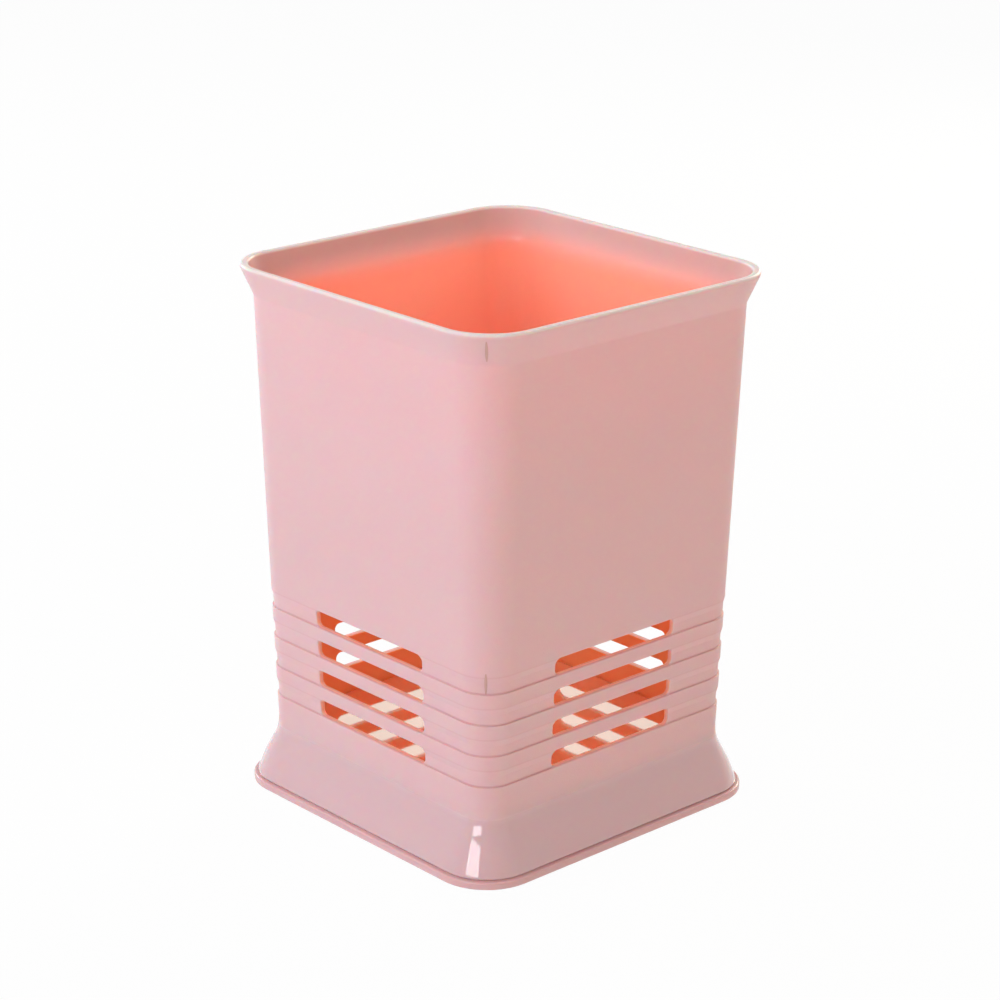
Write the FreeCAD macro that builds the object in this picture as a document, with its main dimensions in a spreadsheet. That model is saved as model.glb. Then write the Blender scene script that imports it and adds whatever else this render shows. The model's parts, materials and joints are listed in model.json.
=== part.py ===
"""Square cutlery holder on a drip tray, with a lift-out drain plate as its floor.

The frame stands on the table: origin under the middle of the tray, +Z up, millimetres.
Every level section is a rounded square, and all its corners turn about the same four upright lines.
So each piece is one section, drawn once: padded along a side, turned through a corner, repeated four times.
"""
import FreeCAD, Part
import math
import os

import Sketcher

# Driving sizes: name, value in millimetres, meaning
SIZES = [
    ("overall_height", 140.0, "table to the top of the rim"),
    ("shoulder_width", 93.6, "walls, outside, where the rim begins to flare"),
    ("waist_width", 84.9, "walls, outside, where the foot begins to flare"),
    ("corner_radius", 7.2, "outside corner radius at the waist"),
    ("wall", 1.9, "thickness of the walls and rim"),
    ("rim_height", 8.2, "height of the flared rim"),
    ("rim_flare", 3.2, "how far the rim leans out past the shoulder"),
    ("lip_height", 1.0, "upright lip at the top of the rim"),
    ("rim_edge_radius", 0.6, "rounding of the rim's two top edges"),
    ("shoulder_radius", 2.5, "rounding where the wall turns into the rim"),
    ("foot_flare_height", 5.4, "steep part of the foot, from the waist down"),
    ("foot_flare", 3.4, "how far that steep part leans out"),
    ("foot_lower_height", 7.2, "lower part of the foot, down to its seat"),
    ("foot_spread", 2.1, "how far that lower part leans out"),
    ("foot_wall", 3.0, "thickness of the foot's lower part"),
    ("foot_edge_radius", 0.5, "rounding of the foot's lower edge"),
    ("waist_radius", 9.0, "hollow curve from the wall into the foot"),
    ("knee_radius", 9.0, "round curve in the middle of the foot"),
    ("ledge_width", 2.4, "ledge inside the waist that carries the drain plate"),
    ("ledge_thickness", 1.1, "thickness of that ledge"),
    ("sill_height", 6.9, "floor to the lowest groove"),
    ("groove_pitch", 8.25, "groove to groove"),
    ("groove_depth", 0.4, "how deep a groove lies in the wall"),
    ("groove_ramp", 1.7, "height of the slope at the top of a groove"),
    ("slot_height", 4.5, "height of a slot and of the groove around it"),
    ("slot_length", 40.7, "length of a slot"),
    ("plate_thickness", 1.6, "drain plate"),
    ("plate_clearance", 0.35, "gap between the drain plate and the walls"),
    ("plate_edge_radius", 0.5, "rounding of the drain plate's top edge"),
    ("drain_hole_diameter", 4.0, "hole in the drain plate"),
    ("drain_hole_pitch", 7.0, "hole to hole"),
    ("tray_thickness", 2.0, "drip tray's floor and flange"),
    ("tray_overhang", 1.1, "how far the flange stands out past the foot"),
    ("tray_edge_radius", 0.5, "rounding of the tray's edges"),
    ("tray_wall", 1.6, "wall of the tray's pan"),
    ("tray_wall_drop", 1.2, "how far the pan's wall ends below the foot's knee"),
    ("tray_clearance", 0.4, "gap between the pan's wall and the foot around it"),
]
GROOVE_COUNT = 4
SIDE_COUNT = 4
# A slot's corner radius as a share of its height
SLOT_CORNER_SHARE = 1 / 3


class Size:
    """A length with its value and the expression that keeps it tied to the sheet."""

    def __init__(self, value, text):
        self.value = value
        self.text = text

    def join(self, sign, other, value):
        other_text = other.text if isinstance(other, Size) else str(other)
        return Size(value, f"({self.text} {sign} {other_text})")

    def __add__(self, other):
        return self.join("+", other, self.value + other.value)

    def __sub__(self, other):
        return self.join("-", other, self.value - other.value)

    def __mul__(self, other):
        factor = other.value if isinstance(other, Size) else other
        return self.join("*", other, self.value * factor)

    def __truediv__(self, other):
        divisor = other.value if isinstance(other, Size) else other
        return self.join("/", other, self.value / divisor)


class Names:
    """Sizes by name."""


# The sheet of driving sizes
doc = FreeCAD.newDocument("CutleryHolder")
sheet = doc.addObject("Spreadsheet::Sheet", "Sizes")
size = Names()
for row, (alias, value, meaning) in enumerate(SIZES, start=1):
    sheet.set(f"A{row}", meaning)
    sheet.set(f"B{row}", str(value))
    sheet.setAlias(f"B{row}", alias)
    setattr(size, alias, Size(value, f"Sizes.{alias}"))
doc.recompute()

# Heights and half-widths that follow from them
ZERO = Size(0.0, "0")
waist_half = size.waist_width / 2
core = waist_half - size.corner_radius
core_width = core * 2
shoulder_half = size.shoulder_width / 2
rim_half = shoulder_half + size.rim_flare
knee_half = waist_half + size.foot_flare
foot_half = knee_half + size.foot_spread
tray_half = foot_half + size.tray_overhang
seat_z = size.tray_thickness
knee_z = seat_z + size.foot_lower_height
waist_z = knee_z + size.foot_flare_height
ledge_z = waist_z + size.ledge_thickness
floor_z = ledge_z + size.plate_thickness
shoulder_z = size.overall_height - size.rim_height
lip_z = size.overall_height - size.lip_height
wall_slope = (shoulder_half - waist_half) / (shoulder_z - waist_z)


def wall_half(z):
    """Half-width of the tapered walls, outside, at a height."""
    return waist_half + (z - waist_z) * wall_slope


def groove_z(index):
    """Height of a groove's lower step, which is also the bottom of its slots."""
    return floor_z + size.sill_height + size.groove_pitch * index


# Sketching helpers
def origin_feature(body, role):
    return next(item for item in body.Origin.OriginFeatures if item.Role == role)


def new_sketch(body, name, role, offset):
    """A sketch on one of the body's own planes, with its origin moved by sizes along the plane's axes."""
    sketch = body.newObject("Sketcher::SketchObject", f"{body.Name}_{name}")
    sketch.AttachmentSupport = [(origin_feature(body, role), "")]
    sketch.MapMode = "FlatFace"
    for axis, distance in offset.items():
        sketch.setExpression(f"AttachmentOffset.Base.{axis}", distance)
    doc.recompute()
    return sketch


def constrain(sketch, kind, *where, to=None):
    """Add a constraint, tied to the sheet where it has a size."""
    if to is None:
        return sketch.addConstraint(Sketcher.Constraint(kind, *where))
    index = sketch.addConstraint(Sketcher.Constraint(kind, *where, to.value))
    sketch.setExpression(f"Constraints[{index}]", to.text)
    return index


def place_point(sketch, geometry, end, across, up):
    """Tie one point of the sketch to its place. Geometry -1 is the level axis, -2 the upright one."""
    if across is ZERO:
        constrain(sketch, "PointOnObject", geometry, end, -2)
    else:
        constrain(sketch, "DistanceX", -1, 1, geometry, end, to=across)
    if up is ZERO:
        constrain(sketch, "PointOnObject", geometry, end, -1)
    else:
        constrain(sketch, "DistanceY", -1, 1, geometry, end, to=up)


def round_corner(before, corner, after, radius):
    """The arc that rounds a corner, its two ends, and whether it turns left."""
    back = (before - corner).normalize()
    ahead = (after - corner).normalize()
    half_angle = back.getAngle(ahead) / 2
    reach = radius / math.tan(half_angle)
    entry = corner + back * reach
    leave = corner + ahead * reach
    middle = (back + ahead).normalize()
    centre = corner + middle * (radius / math.sin(half_angle))
    arc = Part.Arc(entry, centre - middle * radius, leave)
    turns_left = (corner - before).cross(after - corner).z > 0
    return arc, entry, leave, turns_left


def draw_outline(sketch, corners):
    """A closed outline through corners (across, up, radius), where radius is None at a sharp corner."""
    places = [FreeCAD.Vector(across.value, up.value, 0) for across, up, radius in corners]
    count = len(corners)
    enters = list(places)
    leaves = list(places)
    arcs = {}
    for index, (across, up, radius) in enumerate(corners):
        if radius is not None:
            before = places[index - 1]
            after = places[(index + 1) % count]
            arc, enters[index], leaves[index], turns_left = round_corner(
                before, places[index], after, radius.value)
            arcs[index] = (sketch.addGeometry(arc), turns_left)
    lines = []
    for index in range(count):
        line = Part.LineSegment(leaves[index], enters[(index + 1) % count])
        lines.append(sketch.addGeometry(line))
    for index, (across, up, radius) in enumerate(corners):
        line_in = lines[index - 1]
        line_out = lines[index]
        if radius is None:
            constrain(sketch, "Coincident", line_in, 2, line_out, 1)
            place_point(sketch, line_out, 1, across, up)
            continue
        arc, turns_left = arcs[index]
        first, last = (1, 2) if turns_left else (2, 1)
        constrain(sketch, "Tangent", line_in, 2, arc, first)
        constrain(sketch, "Tangent", arc, last, line_out, 1)
        constrain(sketch, "Radius", arc, to=radius)
        point = sketch.addGeometry(Part.Point(places[index]), True)
        place_point(sketch, point, 1, across, up)
        constrain(sketch, "PointOnObject", point, 1, line_in)
        constrain(sketch, "PointOnObject", point, 1, line_out)


# Feature helpers
def new_body(label):
    body = doc.addObject("PartDesign::Body", label)
    body.Label = label
    return body


def repeat_round(body, name, originals):
    """Repeat features on all four sides."""
    pattern = body.newObject("PartDesign::PolarPattern", f"{body.Name}_{name}")
    pattern.Originals = originals
    pattern.Axis = (origin_feature(body, "Z_Axis"), [""])
    pattern.Angle = 360
    pattern.Occurrences = SIDE_COUNT
    body.Tip = pattern
    doc.recompute()
    return pattern


def run_section_round(body, section):
    """Pad a section along one side, turn it through one corner, and repeat both on all sides.

    The section is a list of corners (half-width, height, radius).
    """
    half = core.text
    sketch = new_sketch(body, "section", "XZ_Plane", {"x": half, "z": f"-{half}"})
    draw_outline(sketch, [(ZERO if wide is core else wide - core, z, radius) for wide, z, radius in section])
    doc.recompute()
    side = body.newObject("PartDesign::Pad", f"{body.Name}_side")
    side.Profile = sketch
    side.setExpression("Length", core_width.text)
    doc.recompute()
    corner = body.newObject("PartDesign::Revolution", f"{body.Name}_corner")
    corner.Profile = sketch
    corner.ReferenceAxis = (sketch, ["V_Axis"])
    corner.Angle = 360 / SIDE_COUNT
    doc.recompute()
    return repeat_round(body, "all_sides", [side, corner])


def pad_middle(body, low_z, thickness):
    """The square middle of a flat floor, between the four corner lines."""
    offset = {} if low_z is ZERO else {"z": low_z.text}
    sketch = new_sketch(body, "middle_outline", "XY_Plane", offset)
    reach = core.value
    points = [FreeCAD.Vector(x, y, 0) for x, y in
              ((-reach, -reach), (reach, -reach), (reach, reach), (-reach, reach))]
    edges = [sketch.addGeometry(Part.LineSegment(points[k - 1], points[k])) for k in range(len(points))]
    for index, edge in enumerate(edges):
        constrain(sketch, "Coincident", edges[index - 1], 2, edge, 1)
        constrain(sketch, "Horizontal" if index % 2 else "Vertical", edge)
    constrain(sketch, "Symmetric", edges[0], 1, edges[2], 1, -1, 1)
    constrain(sketch, "DistanceX", edges[1], 1, edges[1], 2, to=core_width)
    constrain(sketch, "DistanceY", edges[2], 1, edges[2], 2, to=core_width)
    doc.recompute()
    pad = body.newObject("PartDesign::Pad", f"{body.Name}_middle")
    pad.Profile = sketch
    pad.setExpression("Length", thickness.text)
    doc.recompute()
    return pad


def draw_slot(sketch, centre_z):
    """A level slot with rounded corners, centred on the upright axis."""
    radius = size.slot_height * SLOT_CORNER_SHARE
    reach = size.slot_length / 2 - radius
    rise = size.slot_height / 2 - radius
    starts = []
    finishes = []
    arcs = []
    for across, up in ((1, -1), (1, 1), (-1, 1), (-1, -1)):
        centre = FreeCAD.Vector(across * reach.value, centre_z.value + up * rise.value, 0)
        aside = FreeCAD.Vector(across * radius.value, 0, 0)
        upright = FreeCAD.Vector(0, up * radius.value, 0)
        first, last = (aside, upright) if across == up else (upright, aside)
        middle = (aside + upright).normalize() * radius.value
        starts.append(centre + first)
        finishes.append(centre + last)
        arcs.append(sketch.addGeometry(Part.Arc(starts[-1], centre + middle, finishes[-1])))
    for index, arc in enumerate(arcs):
        after = (index + 1) % len(arcs)
        line = sketch.addGeometry(Part.LineSegment(finishes[index], starts[after]))
        constrain(sketch, "Tangent", arc, 2, line, 1)
        constrain(sketch, "Tangent", line, 2, arcs[after], 1)
        constrain(sketch, "Horizontal" if index % 2 else "Vertical", line)
    for arc in arcs[1:]:
        constrain(sketch, "Equal", arc, arcs[0])
    right_low, right_high, left_high, left_low = arcs
    constrain(sketch, "Radius", right_low, to=radius)
    constrain(sketch, "DistanceX", -1, 1, right_high, 3, to=reach)
    constrain(sketch, "DistanceX", left_high, 3, -1, 1, to=reach)
    constrain(sketch, "DistanceY", -1, 1, right_high, 3, to=centre_z + rise)
    constrain(sketch, "DistanceY", -1, 1, left_low, 3, to=centre_z - rise)


def draw_hole(sketch, across, up):
    radius = size.drain_hole_diameter / 2
    centre = FreeCAD.Vector(across.value, up.value, 0)
    circle = sketch.addGeometry(Part.Circle(centre, FreeCAD.Vector(0, 0, 1), radius.value))
    constrain(sketch, "Radius", circle, to=radius)
    place_point(sketch, circle, 3, across, up)


def cut_through(body, name, sketch):
    """Cut a sketch right through, away from its normal, and repeat the cut on all sides."""
    volume = body.Shape.Volume
    cut = body.newObject("PartDesign::Pocket", f"{body.Name}_{name}")
    cut.Profile = sketch
    cut.Type = "ThroughAll"
    doc.recompute()
    pattern = repeat_round(body, f"all_{name}", [cut])
    if not pattern.Shape.Volume < volume:
        raise RuntimeError(f"{pattern.Label} cut nothing")


# The pieces
def make_holder_body():
    """One moulding: flared foot, grooved and slotted walls, flared rim, and a ledge inside the waist."""
    section = [
        (foot_half, seat_z, size.foot_edge_radius),
        (knee_half, knee_z, size.knee_radius),
        (waist_half, waist_z, size.waist_radius),
    ]
    for index in range(GROOVE_COUNT):
        step = groove_z(index)
        ramp = step + size.slot_height - size.groove_ramp
        top = step + size.slot_height
        section += [
            (wall_half(step), step, None),
            (wall_half(step) - size.groove_depth, step, None),
            (wall_half(ramp) - size.groove_depth, ramp, None),
            (wall_half(top), top, None),
        ]
    ledge_half = waist_half - size.wall - size.ledge_width
    section += [
        (shoulder_half, shoulder_z, size.shoulder_radius),
        (rim_half, lip_z, None),
        (rim_half, size.overall_height, size.rim_edge_radius),
        (rim_half - size.wall, size.overall_height, size.rim_edge_radius),
        (shoulder_half - size.wall, shoulder_z, size.shoulder_radius),
        (wall_half(ledge_z) - size.wall, ledge_z, None),
        (ledge_half, ledge_z, None),
        (ledge_half, waist_z, None),
        (waist_half - size.wall, waist_z, None),
        (knee_half - size.foot_wall, knee_z, None),
        (foot_half - size.foot_wall, seat_z, None),
    ]
    body = new_body("holder_body")
    run_section_round(body, section)
    slots = new_sketch(body, "slot_outlines", "YZ_Plane", {})
    for index in range(GROOVE_COUNT):
        draw_slot(slots, groove_z(index) + size.slot_height / 2)
    doc.recompute()
    cut_through(body, "slots", slots)
    return body


def make_drain_plate():
    """The floor: a flat plate on the ledge, with drain holes in its middle."""
    plate_half = wall_half(ledge_z) - size.wall - size.plate_clearance
    section = [
        (core, ledge_z, None),
        (plate_half, ledge_z, None),
        (plate_half, floor_z, size.plate_edge_radius),
        (core, floor_z, None),
    ]
    body = new_body("drain_plate")
    pad_middle(body, ledge_z, size.plate_thickness)
    run_section_round(body, section)
    holes = new_sketch(body, "hole_outlines", "XY_Plane", {"z": floor_z.text})
    draw_hole(holes, ZERO, ZERO)
    draw_hole(holes, size.drain_hole_pitch, ZERO)
    draw_hole(holes, size.drain_hole_pitch, size.drain_hole_pitch)
    doc.recompute()
    cut_through(body, "holes", holes)
    return body


def make_drip_tray():
    """A flat base whose flange carries the foot, with a pan wall that fits up inside the foot."""
    wall_rise = size.foot_lower_height - size.tray_wall_drop
    wall_lean = wall_rise * (size.foot_spread / size.foot_lower_height)
    wall_top = seat_z + wall_rise
    wall_low_half = foot_half - size.foot_wall - size.tray_clearance
    wall_top_half = wall_low_half - wall_lean
    section = [
        (core, ZERO, None),
        (tray_half, ZERO, size.tray_edge_radius),
        (tray_half, seat_z, size.tray_edge_radius),
        (wall_low_half, seat_z, None),
        (wall_top_half, wall_top, size.tray_edge_radius),
        (wall_top_half - size.tray_wall, wall_top, size.tray_edge_radius),
        (wall_low_half - size.tray_wall, seat_z, None),
        (core, seat_z, None),
    ]
    body = new_body("drip_tray")
    pad_middle(body, ZERO, size.tray_thickness)
    run_section_round(body, section)
    return body


pieces = [make_holder_body(), make_drain_plate(), make_drip_tray()]
doc.recompute()

# Check everything before anything is written
for item in doc.Objects:
    if "Invalid" in item.State or "Error" in item.State:
        raise RuntimeError(f"{item.Label} failed: {item.State}")
for piece in pieces:
    if piece.Shape.isNull() or not piece.Shape.isValid() or len(piece.Shape.Solids) != 1:
        raise RuntimeError(f"{piece.Label} is not one valid solid")

os.makedirs("parts", exist_ok=True)
for piece in pieces:
    piece.Shape.exportStep(f"parts/{piece.Label}.step")
    box = piece.Shape.BoundBox
    print(f"{piece.Label}: {box.XLength:.2f} x {box.YLength:.2f} x {box.ZLength:.2f} mm,"
          f" z {box.ZMin:.2f} to {box.ZMax:.2f}, {piece.Shape.Volume / 1000:.2f} cm3")
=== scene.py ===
# %% [markdown]
# # A pink cutlery holder
#
# A square plastic holder stands on a drip tray and has a lift-out drain plate as its floor.
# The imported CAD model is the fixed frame: it says where everything is and what moves.
# This lesson gives each of its three solids a finer skin with rounded edges, and then a finish.
# All lengths below are millimetres until a mesh is made, because that is how the holder was measured.

# %% Load the frame
import json
import math

import bmesh
import bpy
import numpy as np
from mathutils import Matrix, Vector

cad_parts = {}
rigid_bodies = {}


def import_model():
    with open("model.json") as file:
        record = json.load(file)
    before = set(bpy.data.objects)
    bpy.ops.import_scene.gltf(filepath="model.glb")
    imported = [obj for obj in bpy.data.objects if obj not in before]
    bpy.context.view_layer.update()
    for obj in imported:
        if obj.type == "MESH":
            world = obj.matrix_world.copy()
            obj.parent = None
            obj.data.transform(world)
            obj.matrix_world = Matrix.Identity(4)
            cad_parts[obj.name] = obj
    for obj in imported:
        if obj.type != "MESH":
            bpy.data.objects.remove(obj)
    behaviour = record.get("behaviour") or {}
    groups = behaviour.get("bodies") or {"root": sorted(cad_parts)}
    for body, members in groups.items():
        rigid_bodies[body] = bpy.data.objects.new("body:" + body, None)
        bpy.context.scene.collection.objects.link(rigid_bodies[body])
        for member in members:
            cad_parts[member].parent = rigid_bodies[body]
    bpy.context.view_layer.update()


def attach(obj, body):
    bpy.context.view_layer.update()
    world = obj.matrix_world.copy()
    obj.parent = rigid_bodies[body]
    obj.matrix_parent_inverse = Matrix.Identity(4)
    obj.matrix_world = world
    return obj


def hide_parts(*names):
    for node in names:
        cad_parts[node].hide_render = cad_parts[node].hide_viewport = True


MM = 0.001
for leftover in list(bpy.data.objects):
    bpy.data.objects.remove(leftover)
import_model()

# %% [markdown]
# ## Camera
#
# The camera comes first, because every later choice is compared through it.
# Its place was worked out from the rim, the groove lines and the base in the photograph: a long lens,
# about 72 cm away, a little above the rim and turned so that two faces show almost equally.
# Azimuth 0 looks along +Y, and the picture is square.

# %% Make the camera
LENS_MM = 101.48
SENSOR_MM = 36.0
CAMERA_AZIMUTH = math.radians(47.55)
CAMERA_ELEVATION = math.radians(19.17)
CAMERA_ROLL = math.radians(0.40)
CAMERA_DISTANCE = 718.64
AIM_HEIGHT = 78.19
AIM_ASIDE = 0.485

away = Vector((math.sin(CAMERA_AZIMUTH) * math.cos(CAMERA_ELEVATION),
               -math.cos(CAMERA_AZIMUTH) * math.cos(CAMERA_ELEVATION),
               math.sin(CAMERA_ELEVATION)))
level = Vector((math.cos(CAMERA_AZIMUTH), math.sin(CAMERA_AZIMUTH), 0))
rising = away.cross(level)
camera_right = level * math.cos(CAMERA_ROLL) + rising * math.sin(CAMERA_ROLL)
camera_up = rising * math.cos(CAMERA_ROLL) - level * math.sin(CAMERA_ROLL)
aim = Vector((0, 0, AIM_HEIGHT)) + level * AIM_ASIDE

camera_data = bpy.data.cameras.new("photo_camera")
camera_data.lens = LENS_MM
camera_data.sensor_width = SENSOR_MM
camera = bpy.data.objects.new("photo_camera", camera_data)
bpy.context.scene.collection.objects.link(camera)
turned = Matrix((camera_right, camera_up, away)).transposed().to_4x4()
camera.matrix_world = Matrix.Translation((aim + away * CAMERA_DISTANCE) * MM) @ turned
bpy.context.scene.camera = camera
bpy.context.scene.view_settings.view_transform = "Standard"
print("camera at", [round(v, 3) for v in camera.location])

# %% [markdown]
# ## Sizes of the section
#
# Every level cut through the holder is a rounded square, and all corners turn about the same four
# upright lines. So the whole holder follows from one upright section: half-width against height.
# These are the same numbers as in the CAD source, and a third number is the rounding at that corner.
# Where the CAD corner is sharp, a real moulding still has a small radius that catches light,
# so those corners get `SOFT_EDGE`.
# The waist's and the inner shoulder's rounding and the names with `SKIN_` are the skin's own. Seen close,
# the foot in the photograph swells half a millimetre further than the CAD foot and has softer bends,
# which its gloss shows.

# %% Section of the holder
CORE = 35.25
WAIST_HALF = 42.45
SHOULDER_HALF = 46.8
RIM_HALF = 50.0
KNEE_HALF = 45.85
FOOT_HALF = 47.95
WALL = 1.9
FOOT_WALL = 3.0
LEDGE_HALF = 38.15
SEAT_Z = 2.0
KNEE_Z = 9.2
WAIST_Z = 14.6
LEDGE_Z = 15.7
FLOOR_Z = 17.3
SHOULDER_Z = 131.8
LIP_Z = 139.0
TOP_Z = 140.0
GROOVE_COUNT = 4
GROOVE_LOW_Z = 24.2
GROOVE_PITCH = 8.25
GROOVE_DEPTH = 0.4
GROOVE_RAMP = 1.7
SLOT_HEIGHT = 4.5
SLOT_LENGTH = 40.7
SLOT_CORNER = 1.5
SIDES = 4
SOFT_EDGE = 0.14
SHOULDER_ROUND = 2.5
WAIST_ROUND = 11.0
FOOT_EDGE = 0.5
RAMP_ROUND = 1.5
RIM_EDGE = 0.6
LIP_ROUND = 0.8
KNEE_ROUND = 2.0
INNER_SHOULDER_ROUND = 10.0
SKIN_FOOT_HALF = 48.45
SKIN_KNEE_HALF = 46.5
SKIN_KNEE_Z = 7.9
SKIN_KNEE_ROUND = 40.0
wall_slope = (SHOULDER_HALF - WAIST_HALF) / (SHOULDER_Z - WAIST_Z)


def wall_half(z):
    """Half-width of the plain tapered wall, outside, at a height."""
    return WAIST_HALF + (z - WAIST_Z) * wall_slope


outside = [(SKIN_FOOT_HALF, SEAT_Z, FOOT_EDGE), (SKIN_KNEE_HALF, SKIN_KNEE_Z, SKIN_KNEE_ROUND),
           (WAIST_HALF, WAIST_Z, WAIST_ROUND)]
for row in range(GROOVE_COUNT):
    step = GROOVE_LOW_Z + row * GROOVE_PITCH
    ramp = step + SLOT_HEIGHT - GROOVE_RAMP
    top = step + SLOT_HEIGHT
    outside += [(wall_half(step), step, SOFT_EDGE), (wall_half(step) - GROOVE_DEPTH, step, SOFT_EDGE),
                (wall_half(ramp) - GROOVE_DEPTH, ramp, RAMP_ROUND), (wall_half(top), top, RAMP_ROUND)]
outside += [(SHOULDER_HALF, SHOULDER_Z, SHOULDER_ROUND), (RIM_HALF, LIP_Z, LIP_ROUND),
            (RIM_HALF, TOP_Z, RIM_EDGE)]
inside = [(RIM_HALF - WALL, TOP_Z, RIM_EDGE), (SHOULDER_HALF - WALL, SHOULDER_Z, INNER_SHOULDER_ROUND),
          (wall_half(LEDGE_Z) - WALL, LEDGE_Z, SOFT_EDGE), (LEDGE_HALF, LEDGE_Z, SOFT_EDGE),
          (LEDGE_HALF, WAIST_Z, SOFT_EDGE), (WAIST_HALF - WALL, WAIST_Z, SOFT_EDGE),
          (KNEE_HALF - FOOT_WALL, KNEE_Z, KNEE_ROUND), (FOOT_HALF - FOOT_WALL, SEAT_Z, SOFT_EDGE)]
print("section corners:", len(outside), "outside,", len(inside), "inside")

# %% [markdown]
# ## Rounding a section
#
# A corner with a radius becomes a short arc that touches both of its lines.
# The arc is cut into steps of at most `ARC_STEP`, so a tight corner and a wide one look equally round.

# %% Round the corners of an outline
ARC_STEP = math.radians(9)


def rounded(corners):
    """Points of a closed outline (across, up), with each corner rounded by its own radius."""
    places = [Vector(corner[:2]) for corner in corners]
    points = []
    for index, corner in enumerate(corners):
        here = places[index]
        if not corner[2]:
            points.append(here)
            continue
        back = (places[index - 1] - here).normalized()
        ahead = (places[(index + 1) % len(places)] - here).normalized()
        half_angle = back.angle(ahead) / 2
        middle = (back + ahead).normalized()
        centre = here + middle * (corner[2] / math.sin(half_angle))
        turn = math.pi - 2 * half_angle
        steps = max(2, math.ceil(turn / ARC_STEP))
        start = here + back * (corner[2] / math.tan(half_angle)) - centre
        side = 1 if back.cross(ahead) < 0 else -1
        for step_index in range(steps + 1):
            angle = side * turn * step_index / steps
            swing = Vector((start.x * math.cos(angle) - start.y * math.sin(angle),
                            start.x * math.sin(angle) + start.y * math.cos(angle)))
            points.append(centre + swing)
    return points


section = rounded(outside + inside)
print("section points:", len(section))

# %% [markdown]
# ## Building node trees
#
# Geometry Nodes make what follows a rule or repeats. This small helper adds a node to a tree, sets its
# options and fills its inputs, so that each tree below reads as a list of steps.
# A tree's result is turned into a plain mesh at once, because the exported model keeps no modifiers.


# %% Helper for geometry trees
class GeometryTree:
    """A Geometry Nodes tree whose inputs are named sizes."""

    def __init__(self, name, inputs):
        self.tree = bpy.data.node_groups.new(name, "GeometryNodeTree")
        self.keys = {}
        for label, kind in {"Geometry": "NodeSocketGeometry", **inputs}.items():
            socket = self.tree.interface.new_socket(label, in_out="INPUT", socket_type=kind)
            self.keys[label] = socket.identifier
        self.tree.interface.new_socket("Geometry", in_out="OUTPUT", socket_type="NodeSocketGeometry")
        self.given = self.tree.nodes.new("NodeGroupInput").outputs

    def fill(self, socket, value):
        """Give an input a plain value, or a link from another node."""
        if isinstance(value, bpy.types.NodeSocket):
            self.tree.links.new(value, socket)
        else:
            socket.default_value = value

    def node(self, kind, settings=None, **inputs):
        """Add a node. Inputs go by name, with _ for a space."""
        made = self.tree.nodes.new(kind)
        for key, value in (settings or {}).items():
            setattr(made, key, value)
        for key, value in inputs.items():
            self.fill(made.inputs[key.replace("_", " ")], value)
        return made.outputs

    def math(self, operation, first, second):
        """A Math node on two numbers or sockets."""
        made = self.tree.nodes.new("ShaderNodeMath")
        made.operation = operation
        self.fill(made.inputs[0], first)
        self.fill(made.inputs[1], second)
        return made.outputs[0]

    def all_round(self, geometry, sides):
        """Copies of something, turned in equal steps about the upright axis."""
        centres = self.node("GeometryNodePoints", Count=sides)[0]
        index = self.node("GeometryNodeInputIndex")["Index"]
        turn = self.math("MULTIPLY", index, self.math("DIVIDE", 2 * math.pi, sides))
        facing = self.node("ShaderNodeCombineXYZ", Z=turn)["Vector"]
        copies = self.node("GeometryNodeInstanceOnPoints", Points=centres, Instance=geometry,
                           Rotation=facing)
        return copies["Instances"]

    def cut_away(self, geometry, plugs):
        """Geometry with the plugs cut out of it."""
        real = self.node("GeometryNodeRealizeInstances", Geometry=plugs)["Geometry"]
        return self.node("GeometryNodeMeshBoolean", {"operation": "DIFFERENCE", "solver": "EXACT"},
                         Mesh_1=geometry, Mesh_2=real)["Mesh"]

    def finish(self, geometry, material):
        """End the tree: no instances left, and one material."""
        real = self.node("GeometryNodeRealizeInstances", Geometry=geometry)["Geometry"]
        dressed = self.node("GeometryNodeSetMaterial", Geometry=real, Material=material)["Geometry"]
        end = self.tree.nodes.new("NodeGroupOutput")
        self.tree.links.new(dressed, end.inputs[0])

    def run(self, data, name, **sizes):
        """Run the tree on some geometry and return the result as a plain mesh."""
        source = bpy.data.objects.new(name + "_source", data)
        bpy.context.scene.collection.objects.link(source)
        modifier = source.modifiers.new("steps", "NODES")
        modifier.node_group = self.tree
        for label, value in sizes.items():
            modifier[self.keys[label]] = value
        bpy.context.view_layer.update()
        graph = bpy.context.evaluated_depsgraph_get()
        mesh = bpy.data.meshes.new_from_object(source.evaluated_get(graph), depsgraph=graph)
        bpy.data.objects.remove(source)
        mesh.name = name
        return mesh


def show(name, data):
    """Put a finished mesh or a lamp into the scene, at the origin."""
    piece = bpy.data.objects.new(name, data)
    bpy.context.scene.collection.objects.link(piece)
    return piece


print("tree helper ready")

# %% [markdown]
# ## Finishes, named now and filled later
#
# A tree ends by giving its mesh a material, so the materials have to exist before the pieces do.

# %% Name the finishes
satin_pink = bpy.data.materials.new("satin_pink")
polished_floor = bpy.data.materials.new("polished_floor")
polished_tray = bpy.data.materials.new("polished_tray")
parting_pink = bpy.data.materials.new("parting_pink")
print("finishes:", satin_pink.name, polished_floor.name, polished_tray.name, parting_pink.name)

# %% [markdown]
# ## The holder's skin
#
# The section runs once round a rounded square. It could be made ring by ring in mesh code, but the
# rule is a sweep, and Geometry Nodes have one: a quadrilateral with filleted corners is the path, and
# Curve to Mesh carries the section along it.
# The path runs at the waist, so the section is drawn from there, outwards or inwards.

# %% Sweep the section round
CORNER_STEPS = 20


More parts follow.
